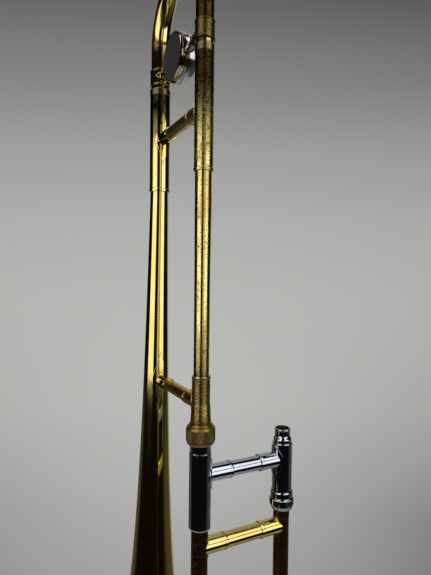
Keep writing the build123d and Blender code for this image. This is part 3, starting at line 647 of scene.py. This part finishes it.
makeSaddle("upper_brace_bell_end", onBell(braces["upper"]), toNeck, 30, 6.1, ("diamond", 8.8, 26),
           lambda height: legs["bell"], "polished_brass")
makeSaddle("upper_brace_neck_end", onNeck(braces["upper"]), toBell, 26, 6.1, ("oval", 7.2, 13),
           lambda height: legs["neck"], "satin_brass")
makeRod("upper_bell_brace", onNeck(braces["upper"]), toBell, 25.9, 72.1, 5.6, "satin_brass")
lowerFoot = Vector((axes["neck"][0], axes["bell"][1] * braces["lower"] / axes["stemMeets"], braces["lower"]))
makeSaddle("lower_brace_bell_end", lowerFoot, toNeck, 32, 6.1, ("diamond", 10.2, 30),
           bellRadius, "polished_brass", lean=bellDrift)
makeSaddle("lower_brace_neck_end", onNeck(braces["lower"]), toBell, 27, 6.1, ("oval", 7.2, 12),
           lambda height: 8.75 - max(0.0, min(1.0, (height - 347) / 18)) * 0.95, "golden_brass")
makeRod("lower_bell_brace", onNeck(braces["lower"]), toBell, 26.9,
        lowerFoot.y - axes["neck"][1] - 31.9, 5.6, "golden_brass")

# the tuning slide


def makeFerrule(node, foot, leg, bow, outside, finish):
    low, high = legs["ferruleBottom"], legs["ferruleTop"]
    bead = outside + 0.35
    spunPiece(node, foot, [
        (leg + gap, low), (outside, low), (bead, low + 0.5), (bead, low + 1.1), (outside, low + 1.6),
        (outside, high - 1.6), (bead, high - 1.1), (bead, high - 0.5), (outside, high), (bow + gap, high),
        (bow + gap, legs["step"]), (leg + gap, legs["step"])], finish, corner=0.08)


makeFerrule("bell_ferrule", bellAxis, legs["bell"] - legs["innerStep"], legs["bellBow"],
            legs["ferruleBell"], "polished_brass")
makeFerrule("neck_ferrule", neckAxis, legs["neck"] - legs["innerStep"], legs["neckBow"],
            legs["ferruleNeck"], "brown_brass")


bow = {"turns": 64, "around": 64}


def makeBow(spec):
    # half a ring of constant tube, then each section scaled to taper from leg to leg
    reach = (bellAxis - neckAxis).length / 2
    middle = (bellAxis + neckAxis) / 2 + up * legs["bow"]
    shape = bmesh.new()
    start = pointing(bellAxis + up * legs["bow"], up, Vector((1, 0, 0)))
    ring = bmesh.ops.create_circle(shape, segments=spec["around"], radius=legs["bellBow"] / 1000,
                                   matrix=start)["verts"]
    ringEdges = list(shape.edges)
    bmesh.ops.spin(shape, geom=ring + ringEdges, cent=middle / 1000, axis=(1, 0, 0), dvec=(0, 0, 0),
                   angle=math.pi, steps=spec["turns"])
    for vert in shape.verts:
        place = vert.co * 1000 - middle
        angle = math.atan2(place.z, place.y) % (2 * math.pi)
        if angle > 1.5 * math.pi:
            angle -= 2 * math.pi
        share = min(max(angle / math.pi, 0.0), 1.0)
        heart = middle + Vector((0, math.cos(angle), math.sin(angle))) * reach
        size = 1 + (legs["neckBow"] / legs["bellBow"] - 1) * share
        vert.co = (heart + (vert.co * 1000 - heart) * size) / 1000
    for foot, radius in ((bellAxis, legs["bellBow"]), (neckAxis, legs["neckBow"])):
        mouth = [e for e in shape.edges if e.is_boundary
                 and all((v.co.xy * 1000 - foot.xy).length < radius * 1.5 for v in e.verts)]
        grown = bmesh.ops.extrude_edge_only(shape, edges=mouth)["geom"]
        drop = [g for g in grown if isinstance(g, bmesh.types.BMVert)]
        bmesh.ops.translate(shape, vec=(0, 0, (legs["bowFoot"] - legs["bow"]) / 1000), verts=drop)
    bmesh.ops.recalc_face_normals(shape, faces=shape.faces)
    bmesh.ops.solidify(shape, geom=shape.faces, thickness=legs["sheet"] / 1000)
    finishPiece("tuning_bow_piece", shape, "tuning_bow", "bow_brass", crease=70)


makeBow(bow)
makeSaddle("tuning_brace_bell_end", onBell(braces["tuning"]), toNeck, 19, 5.0, ("diamond", 8.5, 7.4),
           lambda height: 10.75, "polished_brass", ring=0.4)
makeSaddle("tuning_brace_neck_end", onNeck(braces["tuning"]), toBell, 17.5, 5.0, ("diamond", 7.6, 7.4),
           lambda height: 8.8, "brown_brass", ring=0.4)
makeRod("tuning_brace", onNeck(braces["tuning"]), toBell, 13, 87.5, 4.15, "nickel")

weight = {"radius": 22.0, "face": 20.4, "thick": 8.5, "rodReach": 50.3, "seam": 0.06, "steps": 120,
          "mattInset": 0.3, "mattFrom": 4.0}


def makeWeight(node, side):
    # each half: a flat matt face, a narrow bevel and a rim that grows a little towards the seam
    heart = onBell(braces["tuning"]) + toNeck * weight["rodReach"]
    face, radius, thick, seam = weight["face"], weight["radius"], weight["thick"], weight["seam"]
    shape = spun([
        (0, seam), (radius + 0.2, seam), (radius + 0.5, seam + 0.5), (radius + 0.3, seam + 2.2),
        (radius - 0.2, thick - 2.2), (face + 0.9, thick - 0.7), (face + 0.45, thick - 0.05), (face, thick),
        (face - 0.5, thick - 0.12), (0, thick - 0.12)], weight["steps"], closed=False)
    place = pointing(heart, Vector((side, 0, 0)), Vector((0, 1, 0)))
    piece = finishPiece(node + "_piece", shape, node, "nickel", place, crease=24)
    piece.data.materials.append(finishes["matt_face"])
    for polygon in piece.data.polygons:
        offset = polygon.center * 1000 - heart
        reach = math.hypot(offset.y, offset.z)
        outward = offset.x * side > weight["mattFrom"] and abs(polygon.normal.x) > 0.9
        if reach < face - weight["mattInset"] and outward:
            polygon.material_index = 1


makeWeight("counterweight_front", -1)
makeWeight("counterweight_back", 1)
print("tuning slide ready")

# the inner half of the hand slide

spunPiece("slide_tenon", neckAxis, [
    (6.2, 371), (7.0, 371), (7.82, 340.1), (7.82, 339), (10.2, 338.6), (10.2, 331.4), (9.08, 330.6),
    (9.08, 322.3), (8.65, 322.2), (8.65, 300.2), (6.67, 300.2), (6.67, 330), (6.2, 331)])
spunPiece("lower_cork_barrel", neckAxis, [
    (8.67, 257.6), (9.1, 257.6), (9.35, 257.9), (9.5, 258.8), (9.45, 262), (9.38, 321.0), (9.3, 321.7),
    (9.1, 322.15), (8.67, 322.15)], corner=0.06)
mouthPiece = spunPiece("mouthpiece_receiver", mouthAxis, [
    (6.2, 330), (6.9, 330), (7.3, 329.7), (7.4, 329.2), (7.3, 328.6), (7.15, 328.2), (7.1, 324),
    (7.3, 322.6), (7.6, 322.0), (8.1, 321.0), (8.3, 320.2), (8.3, 317.6), (7.6, 317.5), (7.6, 292),
    (6.67, 292), (6.67, 300), (5.45, 300)], corner=0.06)
boreReach, boreMouth = 6.3, 329.9      # the bare brass bore lies inside this radius and below this height
mouthPiece.data.materials.append(finishes["receiver_brass"])
for polygon in mouthPiece.data.polygons:
    center = polygon.center * 1000
    if (center.xy - mouthAxis.xy).length < boreReach and center.z < boreMouth:
        polygon.material_index = 1
spunPiece("upper_cork_barrel", mouthAxis, [
    (7.62, 317.5), (8.7, 317.5), (9.15, 317.2), (9.3, 316.6), (9.22, 316), (9.2, 273.9), (9.2, 272.9),
    (8.75, 272.9), (8.75, 265), (8.45, 265), (8.45, 306), (7.62, 306)], corner=0.06)
makeSaddle("inner_brace_lower_end", onNeck(braces["inner"]), across, 29, 7.1, ("oval", 9.0, 13.4),
           lambda height: 9.44, "chrome", ring=0.35)
makeSaddle("inner_brace_upper_end", onMouth(braces["inner"]), -across, 26, 7.1, ("oval", 9.0, 13.4),
           lambda height: 9.24, "chrome", ring=0.35)
makeRod("inner_brace", onNeck(braces["inner"]), across, 28.9, axes["spacing"] - 25.9, 6.4, "chrome")

makeKnurled("slide_lock_ring", mouthAxis, [
    (8.82, 272.8), (10.0, 272.8), (10.3, 272.5), (10.4, 271.9), (10.4, 267.4), (10.2, 266.9), (10.0, 266.6),
    (10.2, 266.3), (10.8, 265.9), (11.1, 265.4), (11.1, 260.4), (10.95, 259.6), (10.6, 258.6), (10.3, 257.0),
    (10.1, 256.6), (7.65, 256.6), (7.65, 259.6), (8.82, 259.6)],
    zones=[(260.2, 265.6, 11.0)], teeth=66, depth=0.2, finish="chrome")
print("inner slide ready")

# the outer half of the hand slide

crook = {"height": -386.0, "tube": 7.2, "bore": 6.87, "low": -434.9, "top": 281.8, "seam": 0.05,
         "around": 48, "turns": 56, "ferrule": 20.0, "ferruleRadius": 7.9, "beadRadius": 8.15}

for node, foot in (("lower_outer_tube", neckAxis), ("upper_outer_tube", mouthAxis)):
    low, high = crook["height"] + crook["seam"], crook["top"]
    spunPiece(node, foot, [(crook["bore"], low), (crook["tube"], low), (crook["tube"], high),
                           (crook["bore"], high)], corner=0.05, steps=64)
makeSaddle("outer_brace_lower_end", onNeck(braces["outer"]), across, 24.5, 7.1, ("oval", 6.9, 10.0),
           lambda height: 7.22, "polished_brass", ring=0.3)
makeSaddle("outer_brace_upper_end", onMouth(braces["outer"]), -across, 24.5, 7.1, ("oval", 6.9, 9.6),
           lambda height: 7.22, "polished_brass", ring=0.3)
makeRod("outer_brace", onNeck(braces["outer"]), across, 24.4, axes["spacing"] - 24.4, 6.6, "polished_brass")


def makeCrook(spec):
    shape = bmesh.new()
    heart = (neckAxis + mouthAxis) / 2 + up * spec["height"]
    ring = bmesh.ops.create_circle(shape, segments=spec["around"], radius=spec["tube"] / 1000,
                                   matrix=standing(neckAxis + up * spec["height"]))["verts"]
    bmesh.ops.spin(shape, geom=ring + list(shape.edges), cent=heart / 1000, axis=front, dvec=(0, 0, 0),
                   angle=math.pi, steps=spec["turns"])
    if sum(vert.co.z for vert in shape.verts) / len(shape.verts) > spec["height"] / 1000:
        bmesh.ops.rotate(shape, cent=heart / 1000, matrix=Matrix.Rotation(math.pi, 3, front),
                         verts=shape.verts)
    bmesh.ops.recalc_face_normals(shape, faces=shape.faces)
    bmesh.ops.solidify(shape, geom=shape.faces, thickness=(spec["tube"] - spec["bore"]) / 1000)
    finishPiece("end_crook_piece", shape, "end_crook", "tarnished_brass", crease=70)


makeCrook(crook)
for node, foot in (("lower_crook_ferrule", neckAxis), ("upper_crook_ferrule", mouthAxis)):
    base, end = crook["height"], crook["height"] + crook["ferrule"]
    bore, outside, bead = crook["tube"] + gap, crook["ferruleRadius"], crook["beadRadius"]
    spunPiece(node, foot, [
        (bore, base), (outside, base), (bead, base + 0.5), (bead, base + 1.3), (outside, base + 1.8),
        (outside, end - 1.8), (bead, end - 1.3), (bead, end - 0.5), (outside, end), (bore, end)],
        corner=0.06, steps=64)
bumperFoot = (neckAxis + mouthAxis) / 2
low = crook["low"]
spunPiece("rubber_tip", bumperFoot, [
    (0.01, low - 1.05), (4.95, low - 1.05), (4.95, low - 4.6), (4.75, low - 5.3), (4.3, low - 5.8),
    (3.7, low - 6.2), (3.0, low - 6.5), (1.6, low - 6.7), (0.01, low - 6.8)], corner=0.0, steps=48)
print("outer slide ready")
